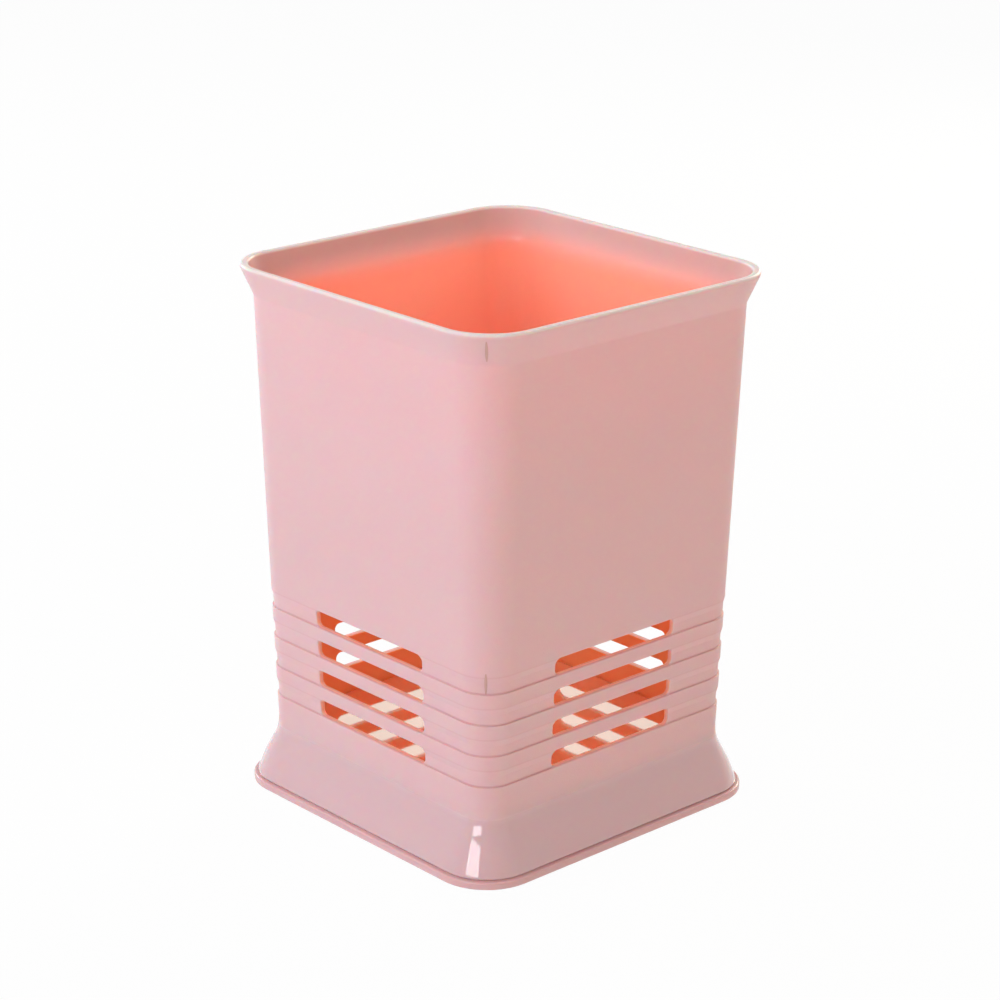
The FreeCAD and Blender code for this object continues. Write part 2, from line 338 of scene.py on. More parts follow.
def outline_curve(name, points):
    """A closed flat curve through points given in millimetres."""
    curve = bpy.data.curves.new(name, "CURVE")
    curve.dimensions = "3D"
    spline = curve.splines.new("POLY")
    spline.points.add(len(points) - 1)
    for point, place in zip(spline.points, points):
        point.co = (place[0] * MM, place[1] * MM, 0, 1)
    spline.use_cyclic_u = True
    return curve


sweep = GeometryTree("run_section_round", {
    "Width": "NodeSocketFloat", "Corner": "NodeSocketFloat", "Steps": "NodeSocketInt"})
square = sweep.node("GeometryNodeCurvePrimitiveQuadrilateral",
                    Width=sweep.given["Width"], Height=sweep.given["Width"])["Curve"]
path = sweep.node("GeometryNodeFilletCurve", {"mode": "POLY"}, Curve=square,
                  Count=sweep.given["Steps"], Radius=sweep.given["Corner"])["Curve"]
path = sweep.node("GeometryNodeSetCurveNormal", {"mode": "Z_UP"}, Curve=path)["Curve"]
skin = sweep.node("GeometryNodeCurveToMesh", Curve=path, Profile_Curve=sweep.given["Geometry"])["Mesh"]
sweep.finish(skin, satin_pink)

section_curve = outline_curve("holder_section", [(p.x - WAIST_HALF, -p.y) for p in section])
shell_mesh = sweep.run(section_curve, "holder_shell", Width=2 * WAIST_HALF * MM,
                       Corner=(WAIST_HALF - CORE) * MM, Steps=CORNER_STEPS)
print("swept shell:", len(shell_mesh.polygons), "faces")

# %% [markdown]
# ## Clean normals
#
# A swept or cut mesh gets its doubles merged and its faces turned outwards.
# Wide flat faces next to narrow rounded ones shade badly with plain smooth normals, so the normals are
# weighted by face area, which keeps the flats flat and leaves the turn to the rounding.

# %% Tidy a closed mesh
MERGE = 0.001 * MM
SHARP_ANGLE = math.radians(40)


def tidy(mesh):
    """Merge doubles, turn faces outwards and give area-weighted normals. Returns the finished mesh."""
    work = bmesh.new()
    work.from_mesh(mesh)
    bmesh.ops.remove_doubles(work, verts=work.verts, dist=MERGE)
    bmesh.ops.dissolve_degenerate(work, dist=MERGE, edges=work.edges)
    bmesh.ops.recalc_face_normals(work, faces=work.faces)
    loose = sum(1 for edge in work.edges if len(edge.link_faces) != 2)
    work.to_mesh(mesh)
    work.free()
    mesh.shade_smooth()
    mesh.set_sharp_from_angle(angle=SHARP_ANGLE)
    carrier = show("shading", mesh)
    weigh = carrier.modifiers.new("weigh", "WEIGHTED_NORMAL")
    weigh.keep_sharp = True
    bpy.context.view_layer.update()
    graph = bpy.context.evaluated_depsgraph_get()
    done = bpy.data.meshes.new_from_object(carrier.evaluated_get(graph), depsgraph=graph)
    done.name = mesh.name
    bpy.data.objects.remove(carrier)
    print(f"{done.name}: {len(done.polygons)} faces, {loose} edges without two faces")
    return done


print("edges past", round(math.degrees(SHARP_ANGLE)), "degrees stay sharp")

# %% [markdown]
# ## Slots
#
# Each groove has a drain slot on every side, sixteen in all. In the mould a steel plug leaves each slot,
# and where the plug meets the mould's walls the edge comes out rounded.
# So one plug is made here, flared at both ends along the wall's real faces, and Geometry Nodes set copies
# of it in rows and round the sides and cut them all out at once.

# %% Rings and rounded edges of a plug
FLARE_STEPS = 5
FLARE_START = math.radians(15)
FLARE_CLEAR = 0.4


def flare(radius, start):
    """How a rounded edge widens a cut: (growth, depth below the face), from above the face down."""
    first = (radius * (1 - math.sin(start)), radius * (1 - math.cos(start)))
    run = (FLARE_CLEAR + first[1]) / math.sin(start)
    steps = [(first[0] + run * math.cos(start), -FLARE_CLEAR)]
    for index in range(FLARE_STEPS + 1):
        angle = start + (math.pi / 2 - start) * index / FLARE_STEPS
        steps.append((radius * (1 - math.sin(angle)), radius * (1 - math.cos(angle))))
    return steps


def join_rings(work, rings):
    """Add rings of equal point count to a mesh in work, joined and closed by a face at each end."""
    loops = [[work.verts.new(Vector(point) * MM) for point in ring] for ring in rings]
    count = len(loops[0])
    for lower, upper in zip(loops, loops[1:]):
        for index in range(count):
            after = (index + 1) % count
            work.faces.new((lower[index], lower[after], upper[after], upper[index]))
    work.faces.new(loops[0])
    work.faces.new(loops[-1])


def stack_rings(name, rings):
    """A closed mesh from rings, with its faces turned outwards."""
    work = bmesh.new()
    join_rings(work, rings)
    bmesh.ops.recalc_face_normals(work, faces=work.faces)
    mesh = bpy.data.meshes.new(name)
    work.to_mesh(mesh)
    work.free()
    return mesh


print("an edge turns in", FLARE_STEPS, "steps")

# %% Shape one slot plug
EDGE_ROUND = 0.35
PLUG_OUTER = 56.0
PLUG_INNER = 30.0
SLOT_STEPS = 10
SLOT_NUDGE = 0.002

slot_reach = SLOT_LENGTH / 2 - SLOT_CORNER
slot_rise = SLOT_HEIGHT / 2 - SLOT_CORNER
slot_middle_z = GROOVE_LOW_Z + SLOT_HEIGHT / 2 - SLOT_NUDGE


def outer_face(z):
    """Half-width of the skin outside, grooves and all, at a height."""
    return np.interp(z, [corner[1] for corner in outside], [corner[0] for corner in outside])


def inner_face(z):
    """Half-width of the plain wall inside, at a height."""
    return wall_half(z) - WALL


def slot_ring(grow, depth_at):
    """One ring of the plug: a slot outline that is grow wider all round, at a depth for each height."""
    radius = SLOT_CORNER + grow
    ring = []
    for corner, (side, up) in enumerate(((1, 1), (-1, 1), (-1, -1), (1, -1))):
        for index in range(SLOT_STEPS + 1):
            angle = math.pi / 2 * (corner + index / SLOT_STEPS)
            z = slot_middle_z + up * slot_rise + radius * math.sin(angle)
            ring.append((depth_at(z), side * slot_reach + radius * math.cos(angle), z))
    return ring


edge_profile = flare(EDGE_ROUND, FLARE_START)
widest = edge_profile[0][0]
plug_rings = [slot_ring(widest, lambda z: PLUG_OUTER)]
for grow, depth in edge_profile:
    plug_rings.append(slot_ring(grow, lambda z, depth=depth: outer_face(z) - depth))
for grow, depth in reversed(edge_profile):
    plug_rings.append(slot_ring(grow, lambda z, depth=depth: inner_face(z) + depth))
plug_rings.append(slot_ring(widest, lambda z: PLUG_INNER))
plug = show("slot_plug", stack_rings("slot_plug", plug_rings))
print("slot plug:", len(plug.data.polygons), "faces")

# %% Cut the slots
cutter = GeometryTree("cut_slots_all_round", {
    "Plug": "NodeSocketObject", "Rows": "NodeSocketInt", "Pitch": "NodeSocketFloat",
    "Lean": "NodeSocketFloat", "Sides": "NodeSocketInt"})
climb = cutter.node("ShaderNodeCombineXYZ", X=cutter.given["Lean"], Z=cutter.given["Pitch"])["Vector"]
rows = cutter.node("GeometryNodeMeshLine", Count=cutter.given["Rows"], Offset=climb)["Mesh"]
one = cutter.node("GeometryNodeObjectInfo", Object=cutter.given["Plug"])["Geometry"]
column = cutter.node("GeometryNodeInstanceOnPoints", Points=rows, Instance=one)["Instances"]
plugs = cutter.all_round(column, cutter.given["Sides"])
cutter.finish(cutter.cut_away(cutter.given["Geometry"], plugs), satin_pink)

slotted = cutter.run(tidy(shell_mesh), "holder_shell", Plug=plug, Rows=GROOVE_COUNT, Sides=SIDES,
                     Pitch=GROOVE_PITCH * MM, Lean=wall_slope * GROOVE_PITCH * MM)
bpy.data.objects.remove(plug)
holder_shell = show("holder_shell", tidy(slotted))

# %% [markdown]
# ## Drain plate
#
# The floor is a loose plate with rounded upper edges that lies on the ledge inside the waist.
# Its rings are rounded squares about the same corner lines, stacked from the underside to the top.
# The nine drain holes are cut as the slots are: one flared plug, set out on a grid of points.

# %% Rings of a rounded square
PLATE_HALF = 40.24
PLATE_EDGE = 0.5


def square_ring(half, z):
    """A level rounded square whose corners turn about the holder's corner lines."""
    ring = []
    for side in range(SIDES):
        quarter = side * math.pi / 2
        centre = Vector((CORE, CORE)) @ Matrix.Rotation(-quarter, 2)
        for index in range(CORNER_STEPS + 1):
            angle = quarter + math.pi / 2 * index / CORNER_STEPS
            ring.append((centre.x + (half - CORE) * math.cos(angle),
                         centre.y + (half - CORE) * math.sin(angle), z))
    return ring


def stack_section(name, corners):
    """A solid from an open section: its first and last corner lie on the flat end faces."""
    return stack_rings(name, [square_ring(point.x, point.y) for point in rounded(corners)[1:-1]])


plate_mesh = stack_section("drain_plate_skin", [
    (CORE, LEDGE_Z, 0), (PLATE_HALF, LEDGE_Z, SOFT_EDGE), (PLATE_HALF, FLOOR_Z, PLATE_EDGE),
    (CORE, FLOOR_Z, 0)])
print("plate:", len(plate_mesh.polygons), "faces")

# %% Drill the plate
HOLE_RADIUS = 2.0
HOLE_PITCH = 7.0
HOLE_ROWS = 3
HOLE_STEPS = 40
HOLE_EDGE = 0.3
PLUG_OVERLAP = 3.0


def hole_ring(grow, z):
    """A level ring round a drain hole that is grow wider than the hole."""
    turn = 2 * math.pi / HOLE_STEPS
    radius = HOLE_RADIUS + grow
    return [(radius * math.cos(turn * k), radius * math.sin(turn * k), z) for k in range(HOLE_STEPS)]


hole_profile = flare(HOLE_EDGE, FLARE_START)
widest = hole_profile[0][0]
hole_rings = [hole_ring(widest, FLOOR_Z + PLUG_OVERLAP)]
hole_rings += [hole_ring(grow, FLOOR_Z - depth) for grow, depth in hole_profile]
hole_rings += [hole_ring(grow, LEDGE_Z + depth) for grow, depth in reversed(hole_profile)]
hole_rings += [hole_ring(widest, LEDGE_Z - PLUG_OVERLAP)]
hole_plug = show("hole_plug", stack_rings("hole_plug", hole_rings))

driller = GeometryTree("drill_drain_holes", {
    "Plug": "NodeSocketObject", "Rows": "NodeSocketInt", "Width": "NodeSocketFloat"})
grid = driller.node("GeometryNodeMeshGrid", Size_X=driller.given["Width"], Size_Y=driller.given["Width"],
                    Vertices_X=driller.given["Rows"], Vertices_Y=driller.given["Rows"])["Mesh"]
one = driller.node("GeometryNodeObjectInfo", Object=driller.given["Plug"])["Geometry"]
holes = driller.node("GeometryNodeInstanceOnPoints", Points=grid, Instance=one)["Instances"]
driller.finish(driller.cut_away(driller.given["Geometry"], holes), polished_floor)

drilled = driller.run(plate_mesh, "drain_plate_skin", Plug=hole_plug, Rows=HOLE_ROWS,
                      Width=(HOLE_ROWS - 1) * HOLE_PITCH * MM)
bpy.data.objects.remove(hole_plug)
drain_plate_skin = show("drain_plate_skin", tidy(drilled))

# %% [markdown]
# ## Drip tray
#
# The tray is a flat base whose flange carries the holder's foot, with a low wall that fits up inside it.
# It is one stack of rounded squares: underside, flange edge, wall up, wall down, pan floor.

# %% Stack the tray
TRAY_HALF = 49.4
TRAY_EDGE = 0.5
PAN_LOW_HALF = 44.55
PAN_TOP_HALF = 42.8
PAN_TOP_Z = 8.0
PAN_WALL = 1.6
PAN_FILLET = 0.8

tray_mesh = stack_section("drip_tray_skin", [
    (CORE, 0, 0), (TRAY_HALF, 0, TRAY_EDGE), (TRAY_HALF, SEAT_Z, TRAY_EDGE),
    (PAN_LOW_HALF, SEAT_Z, SOFT_EDGE), (PAN_TOP_HALF, PAN_TOP_Z, TRAY_EDGE),
    (PAN_TOP_HALF - PAN_WALL, PAN_TOP_Z, TRAY_EDGE),
    (PAN_LOW_HALF - PAN_WALL, SEAT_Z, PAN_FILLET), (CORE, SEAT_Z, 0)])
tray_mesh.materials.append(polished_tray)
drip_tray_skin = show("drip_tray_skin", tidy(tray_mesh))

# %% [markdown]
# ## Parting marks
#
# The mould's side slides meet along the four corners, and a hair of flash is left where they do.
# It shows on the flare of the rim and across the uppermost groove. Each mark is a thin pointed ridge that
# follows the corner, and Geometry Nodes repeat the pair at all four corners.

# %% Lay the parting marks
MARK_WIDTH = 0.95
MARK_HEIGHT = 0.10
MARK_SINK = 0.08
MARK_STEPS = 14
MARK_END = 0.03
MARK_BLUNTNESS = 0.35
MARK_SHOULDER = 0.7
RIM_MARK = (133.0, 138.4)
GROOVE_MARK = (0.1, 5.6)
upper_step_z = GROOVE_LOW_Z + (GROOVE_COUNT - 1) * GROOVE_PITCH
mark_spans = [RIM_MARK, (upper_step_z + GROOVE_MARK[0], upper_step_z + GROOVE_MARK[1])]


def corner_point(z, aside, proud):
    """A point on the corner's diagonal, moved aside along the surface and proud of it."""
    radius = outer_face(z) - CORE
    angle = math.pi / 4 + aside / radius
    reach = radius + proud
    return Vector((CORE + reach * math.cos(angle), CORE + reach * math.sin(angle), z))


def mark_ring(z, share):
    """One ring of a mark, share of the way up it: a low arch that is slim at both ends."""
    taper = math.sin(math.pi * min(max(share, MARK_END), 1 - MARK_END)) ** MARK_BLUNTNESS
    half = MARK_WIDTH / 2 * taper
    shoulder = MARK_HEIGHT * taper * MARK_SHOULDER
    arch = [(-half, -MARK_SINK), (-half / 2, shoulder), (0, MARK_HEIGHT * taper),
            (half / 2, shoulder), (half, -MARK_SINK)]
    return [corner_point(z, aside, proud) for aside, proud in arch]


work = bmesh.new()
for low, high in mark_spans:
    shares = [index / MARK_STEPS for index in range(MARK_STEPS + 1)]
    join_rings(work, [mark_ring(low + (high - low) * share, share) for share in shares])
mark_mesh = bpy.data.meshes.new("parting_mark")
work.to_mesh(mark_mesh)
work.free()

repeat = GeometryTree("repeat_at_corners", {"Sides": "NodeSocketInt"})
repeat.finish(repeat.all_round(repeat.given["Geometry"], repeat.given["Sides"]), parting_pink)
parting_marks = show("parting_marks", tidy(repeat.run(mark_mesh, "parting_marks", Sides=SIDES)))

# %% [markdown]
# ## Shader maths
#
# A finish is a formula over the surface, so it is written as one. `Wire` stands for a socket, and maths on
# it adds the Math nodes. `Finish` holds a material's tree and adds any other node by its type.


# %% Maths on a socket
class Wire:
    """One output of a shader node, on which plain maths works."""

    def __init__(self, finish, socket):
        self.finish = finish
        self.socket = socket

    def math(self, operation, first, second):
        """Add a Math node and return its result."""
        return self.finish.node("ShaderNodeMath", {"operation": operation}, {0: first, 1: second})

    def __add__(self, other):
        return self.math("ADD", self, other)

    __radd__ = __add__

    def __sub__(self, other):
        return self.math("SUBTRACT", self, other)

    def __rsub__(self, other):
        return self.math("SUBTRACT", other, self)

    def __mul__(self, other):
        return self.math("MULTIPLY", self, other)

    __rmul__ = __mul__

    def __abs__(self):
        return self.math("ABSOLUTE", self, 0)

    def at_least(self, least):
        return self.math("MAXIMUM", self, least)

    def at_most(self, most):
        return self.math("MINIMUM", self, most)

    def from_nearest(self, pitch):
        """How far a value is from the nearest multiple of a pitch."""
        return self.math("PINGPONG", self, pitch / 2)

    def root(self):
        return self.math("SQRT", self, 0)


print("wires ready")


# %% A material's tree
class Finish:
    """The node tree of one material."""

    def __init__(self, material):
        material.use_nodes = True
        self.tree = material.node_tree
        self.tree.nodes.clear()

    def node(self, kind, settings=None, inputs=None, output=0):
        """Add a node: its settings first, then the values or wires of its sockets."""
        made = self.tree.nodes.new(kind)
        for key, value in (settings or {}).items():
            setattr(made, key, value)
        for key, value in (inputs or {}).items():
            if isinstance(value, Wire):
                self.tree.links.new(value.socket, made.inputs[key])
            else:
                made.inputs[key].default_value = value
        return Wire(self, made.outputs[output])

    def place(self):
        """Where a point of the surface is, in metres."""
        return self.node("ShaderNodeTexCoord", output="Object")

    def axes(self, place):
        """The three numbers of a place."""
        return [self.node("ShaderNodeSeparateXYZ", inputs={0: place}, output=axis) for axis in "XYZ"]

    def ramp(self, value, low, high):
        """0 below low, 1 above high, and smooth between. Low may be the greater one."""
        return self.node("ShaderNodeMapRange", {"interpolation_type": "SMOOTHSTEP"},
                         {"Value": value, "From Min": low, "From Max": high})

    def mask(self, value, span):
        """A ramp over a span given in millimetres: 0 at its first end, 1 at its second."""
        return self.ramp(value, span[0] * MM, span[1] * MM)

    def noise(self, place, size, detail=2.0):
        """Soft noise about 0.5 whose lumps are about size millimetres wide."""
        return self.node("ShaderNodeTexNoise", inputs={
            "Vector": place, "Scale": 1 / (size * MM), "Detail": detail}, output="Fac")

    def blend(self, share, first, second):
        """Mix two colours."""
        return self.node("ShaderNodeMix", {"data_type": "RGBA"}, {0: share, 6: first, 7: second}, output=2)

    def bump(self, height, distance):
        """A relief whose height of 1 stands for a distance in millimetres."""
        return self.node("ShaderNodeBump", inputs={"Height": height, "Distance": distance * MM,
                                                   "Strength": 1.0})

    def end(self, kind, inputs):
        """The last shader and the output."""
        shader = self.node(kind, inputs=inputs)
        out = self.tree.nodes.new("ShaderNodeOutputMaterial")
        self.tree.links.new(shader.socket, out.inputs["Surface"])


def dress(piece, material):
    """Give a finished piece one material."""
    piece.data.materials.clear()
    piece.data.materials.append(material)


def colour(red, green, blue):
    """A colour as an eye or a picture editor gives it, 0 to 255, as Blender wants it."""
    linear = [(v / 255 / 12.92) if v <= 10.31 else ((v / 255 + 0.055) / 1.055) ** 2.4
              for v in (red, green, blue)]
    return (*linear, 1.0)


print("shader helpers ready")

# %% [markdown]
# ## Satin pink
#
# The holder is moulded in a pale pink plastic that lets light through. White light that comes back off
# the outside is a cool pink. Light that has gone through a wall, or bounced about inside, has lost its
# blue and green and glows orange. Subsurface scattering gives that by itself, with a long path for red
# and short ones for green and blue. The plastic is the same pink inside and out, but the inside is painted
# with that glow as well, a darker, warmer pink at the rim and orange further down, so that the glow
# survives an export.
# The walls are satin from a spark-eroded mould, and the foot and the inside are polished.
# One mesh has all of these, so masks come first: how far a point is from the middle of the wall says
# whether it is inside or outside, and its height says the rest.

# %% Where a point of the holder lies
INSIDE_SPAN = (0.5, -0.5)
GLOW_SPAN = (137.0, 127.0)
DEEP_GLOW_SPAN = (100.0, 45.0)
GLOSS_SPAN = (16.5, 14.0)
RIM_HIGHLIGHT_SPAN = (139.2, 139.8)
BAND_LOW_SPAN = (22.0, 23.0)
BAND_HIGH_SPAN = (55.5, 54.5)
INSIDE_POLISH = 0.6

satin = Finish(satin_pink)
place = satin.place()
x, y, z = satin.axes(place)
past_x = (abs(x) - CORE * MM).at_least(0)
past_y = (abs(y) - CORE * MM).at_least(0)
half_width = (past_x * past_x + past_y * past_y).root() + CORE * MM
flare_slope = (RIM_HALF - SHOULDER_HALF) / (LIP_Z - SHOULDER_Z)
foot_slope = (FOOT_HALF - WAIST_HALF) / (WAIST_Z - SEAT_Z)
middle = ((z - WAIST_Z * MM) * wall_slope + (WAIST_HALF - WALL / 2) * MM
          + (z - SHOULDER_Z * MM).at_least(0) * (flare_slope - wall_slope)
          + (WAIST_Z * MM - z).at_least(0) * (foot_slope + wall_slope))
across = half_width - middle
is_inside = satin.mask(across, INSIDE_SPAN)
# Painted glow: below the shoulder the inside is painted orange, and deeper orange from the middle down,
# for light shining through the walls.
is_inside_glow = is_inside * satin.mask(z, GLOW_SPAN)
is_deep_glow = is_inside * satin.mask(z, DEEP_GLOW_SPAN)
is_foot = satin.mask(z, GLOSS_SPAN)
# Painted highlight: the top of the rim is painted near-white.
is_rim_highlight = satin.mask(z, RIM_HIGHLIGHT_SPAN)
is_polished = (is_foot + is_inside * INSIDE_POLISH).at_most(1)
in_band = satin.mask(z, BAND_LOW_SPAN) * satin.mask(z, BAND_HIGH_SPAN)
print("masks use", len(satin.tree.nodes), "nodes")

# %% Painted shade in the grooves and painted light on the slot lips
STEP_NUDGE = 0.1
STEP_SPAN = (0.45, 0.08)
STEP_SHADE = 0.34
RAMP_SPAN = (0.34, 0.06)
RAMP_SHADE = 0.18
SLOT_LIGHT_SPAN = (0.62, 0.42)

from_step = (z - (GROOVE_LOW_Z + STEP_NUDGE) * MM).from_nearest(GROOVE_PITCH * MM)
from_ramp = (z - (GROOVE_LOW_Z + SLOT_HEIGHT) * MM).from_nearest(GROOVE_PITCH * MM)
# Painted shade: a darker pink line along the crease at the foot of each groove, and a fainter one along
# the top of its ramp.
is_crease_shade = satin.mask(from_step, STEP_SPAN) * STEP_SHADE + satin.mask(from_ramp, RAMP_SPAN) * RAMP_SHADE
# Painted light: the faces cut through the wall at the slots are painted a pale cream pink, as if lit.
is_lit_slot_lip = satin.mask(abs(across + GROOVE_DEPTH / 2 * MM), SLOT_LIGHT_SPAN) * in_band
print("with creases:", len(satin.tree.nodes), "nodes")

# %% Colours, painted light and shade, and gloss of the holder
OUTSIDE_PINK = colour(232, 198, 202)
OUTSIDE_WARM = colour(231, 194, 197)
FOOT_PINK = colour(223, 181, 186)
# Painted shade for the groove creases.
CREASE_SHADE_PINK = colour(204, 142, 144)
# Painted shade and glow: the whole inside is painted a darker, warmer pink than the outside.
INSIDE_SHADE_PINK = colour(223, 184, 181)
# Painted glow: orange inside, and a deeper orange lower down.
INSIDE_GLOW_ORANGE = colour(255, 168, 145)
DEEP_GLOW_ORANGE = colour(255, 172, 118)
# Painted light on the slot lips.
SLOT_LIP_LIGHT = colour(248, 198, 182)
# Painted highlight on the rim's top edge.
RIM_HIGHLIGHT_PALE = colour(242, 230, 230)
CLOUD_SIZE = 38.0
GRAIN_SIZE = 0.32
WAVE_SIZE = 14.0
SATIN_ROUGH = 0.42
POLISH_GAIN = 0.36
GRAIN_ROUGH = 0.08
GRAIN_RELIEF = 0.05
WAVE_RELIEF = 0.22
PLASTIC_IOR = 1.49
FOOT_COAT_IOR = 1.7
FOOT_COAT_ROUGH = 0.03
SCATTER_RADIUS = (1.0, 0.33, 0.17)
SCATTER_SCALE = 2.4

clouds = satin.noise(place, CLOUD_SIZE)
grain = satin.noise(place, GRAIN_SIZE, detail=3.0)
waves = satin.noise(place, WAVE_SIZE, detail=1.0)
is_satin = 1 - is_polished
skin_colour = satin.blend(clouds, OUTSIDE_PINK, OUTSIDE_WARM)
# The foot's own pink goes on first. The rest are painted shade in the groove creases, a painted glow
# inside, painted light on the slot lips and a painted highlight on the rim's top.
for share, paint in ((is_foot, FOOT_PINK), (is_crease_shade * in_band, CREASE_SHADE_PINK), (is_inside, INSIDE_SHADE_PINK),
                     (is_inside_glow, INSIDE_GLOW_ORANGE), (is_deep_glow, DEEP_GLOW_ORANGE), (is_lit_slot_lip, SLOT_LIP_LIGHT),
                     (is_rim_highlight, RIM_HIGHLIGHT_PALE)):
    skin_colour = satin.blend(share, skin_colour, paint)
roughness = SATIN_ROUGH - is_polished * POLISH_GAIN + (grain - 0.5) * is_satin * GRAIN_ROUGH
relief = (grain - 0.5) * is_satin * GRAIN_RELIEF + (waves - 0.5) * is_polished * WAVE_RELIEF
satin.end("ShaderNodeBsdfPrincipled", {
    "Base Color": skin_colour, "Roughness": roughness, "Normal": satin.bump(relief, 1.0),
    "IOR": PLASTIC_IOR, "Coat Weight": is_foot, "Coat IOR": FOOT_COAT_IOR,
    "Coat Roughness": FOOT_COAT_ROUGH, "Subsurface Weight": 1.0, "Subsurface Radius": SCATTER_RADIUS,
    "Subsurface Scale": SCATTER_SCALE * MM})
dress(holder_shell, satin_pink)
print("satin pink:", len(satin.tree.nodes), "nodes")

# %% [markdown]
# ## Polished plate and tray
#
# The plate mirrors the far slots, so it is the glossiest surface here: a high refractive index and a coat.
# The tray is the same pink as the foot, polished, with the faint ripple of a thin moulding.
# Its flange is thin, so light scatters only a short way in it.

# %% Polished drain plate
PLATE_PINK = colour(242, 182, 166)
PLATE_WARM = colour(238, 174, 158)
PLATE_GLINT = colour(255, 244, 228)
PLATE_CLOUD_SIZE = 30.0
PLATE_RIPPLE_SIZE = 22.0
PLATE_SCUFF_SIZE = 1.2
PLATE_ROUGH = 0.03
PLATE_SCUFF_ROUGH = 0.04
PLATE_RELIEF = 0.02
PLATE_IOR = 7.0
PLATE_COAT_IOR = 3.6
PLATE_COAT_ROUGH = 0.02

floor = Finish(polished_floor)
place = floor.place()
ripple = floor.noise(place, PLATE_RIPPLE_SIZE, detail=1.0)
scuffs = floor.noise(place, PLATE_SCUFF_SIZE, detail=4.0)
floor.end("ShaderNodeBsdfPrincipled", {
    "Base Color": floor.blend(floor.noise(place, PLATE_CLOUD_SIZE), PLATE_PINK, PLATE_WARM),
    "Roughness": PLATE_ROUGH + scuffs * PLATE_SCUFF_ROUGH, "Normal": floor.bump(ripple, PLATE_RELIEF),
    "IOR": PLATE_IOR, "Specular Tint": PLATE_GLINT, "Coat Weight": 1.0, "Coat IOR": PLATE_COAT_IOR,
    "Coat Roughness": PLATE_COAT_ROUGH, "Coat Tint": PLATE_GLINT,
    "Subsurface Weight": 0.5, "Subsurface Radius": SCATTER_RADIUS,
    "Subsurface Scale": SCATTER_SCALE * MM})
dress(drain_plate_skin, polished_floor)
print("polished floor:", len(floor.tree.nodes), "nodes")

# %% Polished drip tray
TRAY_PINK = colour(231, 189, 192)
TRAY_WARM = colour(229, 182, 184)
TRAY_CLOUD_SIZE = 34.0
TRAY_SCUFF_SIZE = 1.0
TRAY_RIPPLE_SIZE = 12.0
TRAY_ROUGH = 0.20
TRAY_SCUFF_ROUGH = 0.10
TRAY_RELIEF = 0.05
TRAY_SCATTER_SCALE = 0.6

tray = Finish(polished_tray)
place = tray.place()
ripple = tray.noise(place, TRAY_RIPPLE_SIZE, detail=1.0)
scuffs = tray.noise(place, TRAY_SCUFF_SIZE, detail=4.0)
tray.end("ShaderNodeBsdfPrincipled", {
    "Base Color": tray.blend(tray.noise(place, TRAY_CLOUD_SIZE), TRAY_PINK, TRAY_WARM),
    "Roughness": TRAY_ROUGH + scuffs * TRAY_SCUFF_ROUGH, "Normal": tray.bump(ripple, TRAY_RELIEF),
    "IOR": PLASTIC_IOR,
    "Subsurface Weight": 0.7, "Subsurface Radius": SCATTER_RADIUS,
    "Subsurface Scale": TRAY_SCATTER_SCALE * MM})
dress(drip_tray_skin, polished_tray)
print("polished tray:", len(tray.tree.nodes), "nodes")

# %% Finish of the parting marks
MARK_BROWN = colour(206, 160, 150)
MARK_PALE = colour(214, 170, 160)
MARK_CLOUD_SIZE = 2.0
MARK_GRAIN_SIZE = 0.5
MARK_ROUGH = 0.35
MARK_GRAIN_ROUGH = 0.2

mark = Finish(parting_pink)
place = mark.place()
mark.end("ShaderNodeBsdfPrincipled", {
    "Base Color": mark.blend(mark.noise(place, MARK_CLOUD_SIZE), MARK_BROWN, MARK_PALE),
    "Roughness": MARK_ROUGH + mark.noise(place, MARK_GRAIN_SIZE) * MARK_GRAIN_ROUGH, "IOR": PLASTIC_IOR})
dress(parting_marks, parting_pink)
print("parting marks:", len(mark.tree.nodes), "nodes")

# %% [markdown]
# ## Stage
#
# The photograph has a plain white ground. The floor and the world are white to the camera, at strength 1,
# while the light on the object comes from soft boxes and a dim sky. Mirror rays see the same white room on
# the side of -X, and a dimmer one towards +X: a gloss only shows where there is something to tell apart.

# %% White ground
FLOOR_GAP = 0.1
STAGE_SIZE = 6000.0
FLOOR_GLOW = 0.97
DIM_SIDE = 0.8
GROUND_DIM = (0, 250.0)
PAPER_WHITE = colour(238, 238, 240)
PURE_WHITE = (1, 1, 1, 1)


def white_to_eyes(finish, along_x, near, far):
    """1 for the camera and through glass. Mirror rays see it fall to DIM_SIDE from near to far along X."""
    camera_ray, glass_ray, mirror_ray = [finish.node("ShaderNodeLightPath", output=kind) for kind in (
        "Is Camera Ray", "Is Transmission Ray", "Is Glossy Ray")]
    mirrored = mirror_ray * (1 - finish.ramp(along_x, near, far) * (1 - DIM_SIDE))
    return (camera_ray + glass_ray).at_least(mirrored)


ground_finish = bpy.data.materials.new("white_ground")
ground = Finish(ground_finish)
along_x = ground.axes(ground.place())[0]
glow_share = white_to_eyes(ground, along_x, GROUND_DIM[0] * MM, GROUND_DIM[1] * MM) * FLOOR_GLOW
paper = ground.node("ShaderNodeBsdfDiffuse", inputs={"Color": PAPER_WHITE})
glow = ground.node("ShaderNodeEmission", inputs={"Color": PURE_WHITE, "Strength": 1.0})
ground.end("ShaderNodeMixShader", {0: glow_share, 1: paper, 2: glow})
ground_mesh = bpy.data.meshes.new("ground")
reach = STAGE_SIZE / 2 * MM
corners = [(-reach, -reach), (reach, -reach), (reach, reach), (-reach, reach)]
ground_mesh.from_pydata([(*corner, -FLOOR_GAP * MM) for corner in corners], [], [(0, 1, 2, 3)])
ground_mesh.materials.append(ground_finish)
ground_plane = show("ground", ground_mesh)
print("ground", STAGE_SIZE, "mm wide")

# %% White room
SKY_LIGHT = 0.08
SKY_DIM = (-0.1, 0.6)

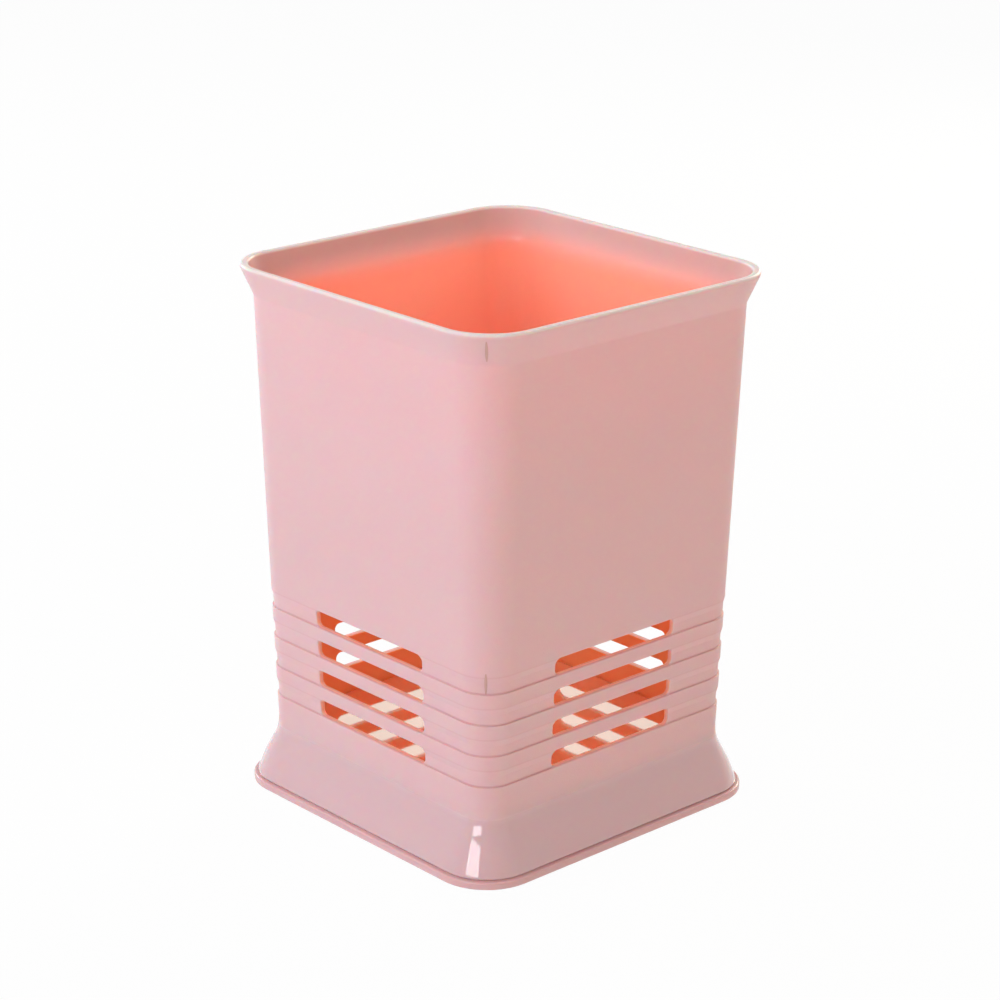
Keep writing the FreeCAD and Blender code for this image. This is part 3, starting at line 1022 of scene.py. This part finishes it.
world = bpy.data.worlds.new("white_room")
bpy.context.scene.world = world
world.use_nodes = True
sky = Finish(world)
along_x = sky.axes(sky.place())[0]
sky_strength = white_to_eyes(sky, along_x, *SKY_DIM) * (1 - SKY_LIGHT) + SKY_LIGHT
background = sky.node("ShaderNodeBackground", inputs={"Color": PURE_WHITE, "Strength": sky_strength})
sky_end = sky.tree.nodes.new("ShaderNodeOutputWorld")
sky.tree.links.new(background.socket, sky_end.inputs["Surface"])
print("sky light", SKY_LIGHT)

# %% [markdown]
# ## Soft boxes
#
# Two broad boxes light the two faces that the camera sees, a cool one on the left and a warm one on the
# right. Two lamps behind light the other two faces, and a box above fills the rim, so that pink looks pink
# from every side.
# The window is the only one in front that the foot's gloss may show: it is the bright spot at the front
# corner, and the broad boxes would draw their outlines beside it, so mirror rays pass them by.
# The real inside glows because a bright room shines through the walls. So much light would bleach the
# outside here, so a small unseen lamp in the mouth lights the inside alone.


# %% Set up the lamps
def soft_box(name, azimuth, elevation, distance, width, height, watts, tint):
    """A rectangular lamp that faces the middle of the holder. Azimuth 0 is along +X, 90 along +Y."""
    lamp = bpy.data.lights.new(name, "AREA")
    lamp.shape = "RECTANGLE"
    lamp.size = width * MM
    lamp.size_y = height * MM
    lamp.energy = watts
    lamp.color = tint
    turn, rise = math.radians(azimuth), math.radians(elevation)
    toward = Vector((math.cos(turn) * math.cos(rise), math.sin(turn) * math.cos(rise), math.sin(rise)))
    stand = show(name, lamp)
    stand.location = (Vector((0, 0, TOP_Z / 2)) + toward * distance) * MM
    stand.rotation_mode = "QUATERNION"
    stand.rotation_quaternion = toward.to_track_quat("Z", "Y")
    return stand


PLAIN_LIGHT = (1, 1, 1)
WARM_LIGHT = (1.0, 0.91, 0.74)
COOL_LIGHT = (0.92, 0.96, 1.0)

soft_box("window", -72, 13.1, 900, 420, 262, 1.25, COOL_LIGHT)
left_box = soft_box("left_box", -108, 28, 1000, 1100, 700, 6.0, COOL_LIGHT)
soft_box("side_lamp", 182, 21, 1200, 300, 220, 4.2, PLAIN_LIGHT)
soft_box("back_lamp", 105, 22, 1000, 380, 340, 4.8, WARM_LIGHT)
right_box = soft_box("right_box", 5, 14, 1000, 1400, 900, 5.3, WARM_LIGHT)
soft_box("top_box", 135, 80, 1000, 700, 700, 1.2, PLAIN_LIGHT)
mouth_lamp = soft_box("mouth_lamp", 0, 90, 67, 76, 76, 0.015, PLAIN_LIGHT)
mouth_lamp.visible_camera = False
for unmirrored in (left_box, right_box, mouth_lamp):
    unmirrored.visible_glossy = False
print("lamps:", len(bpy.data.lights))

# %% [markdown]
# ## Hand over
#
# Each skin stands for its CAD solid and rides on that solid's body, so it moves as the solid does.

# %% Ride and replace
for piece, body, node, finish_slot in (
        (holder_shell, "holder", "holder_body", "satin_pink"),
        (drain_plate_skin, "plate", "drain_plate", "gloss_pink_floor"),
        (drip_tray_skin, "tray", "drip_tray", "gloss_pink_tray")):
    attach(piece, body)
    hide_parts(node)
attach(parting_marks, "holder")
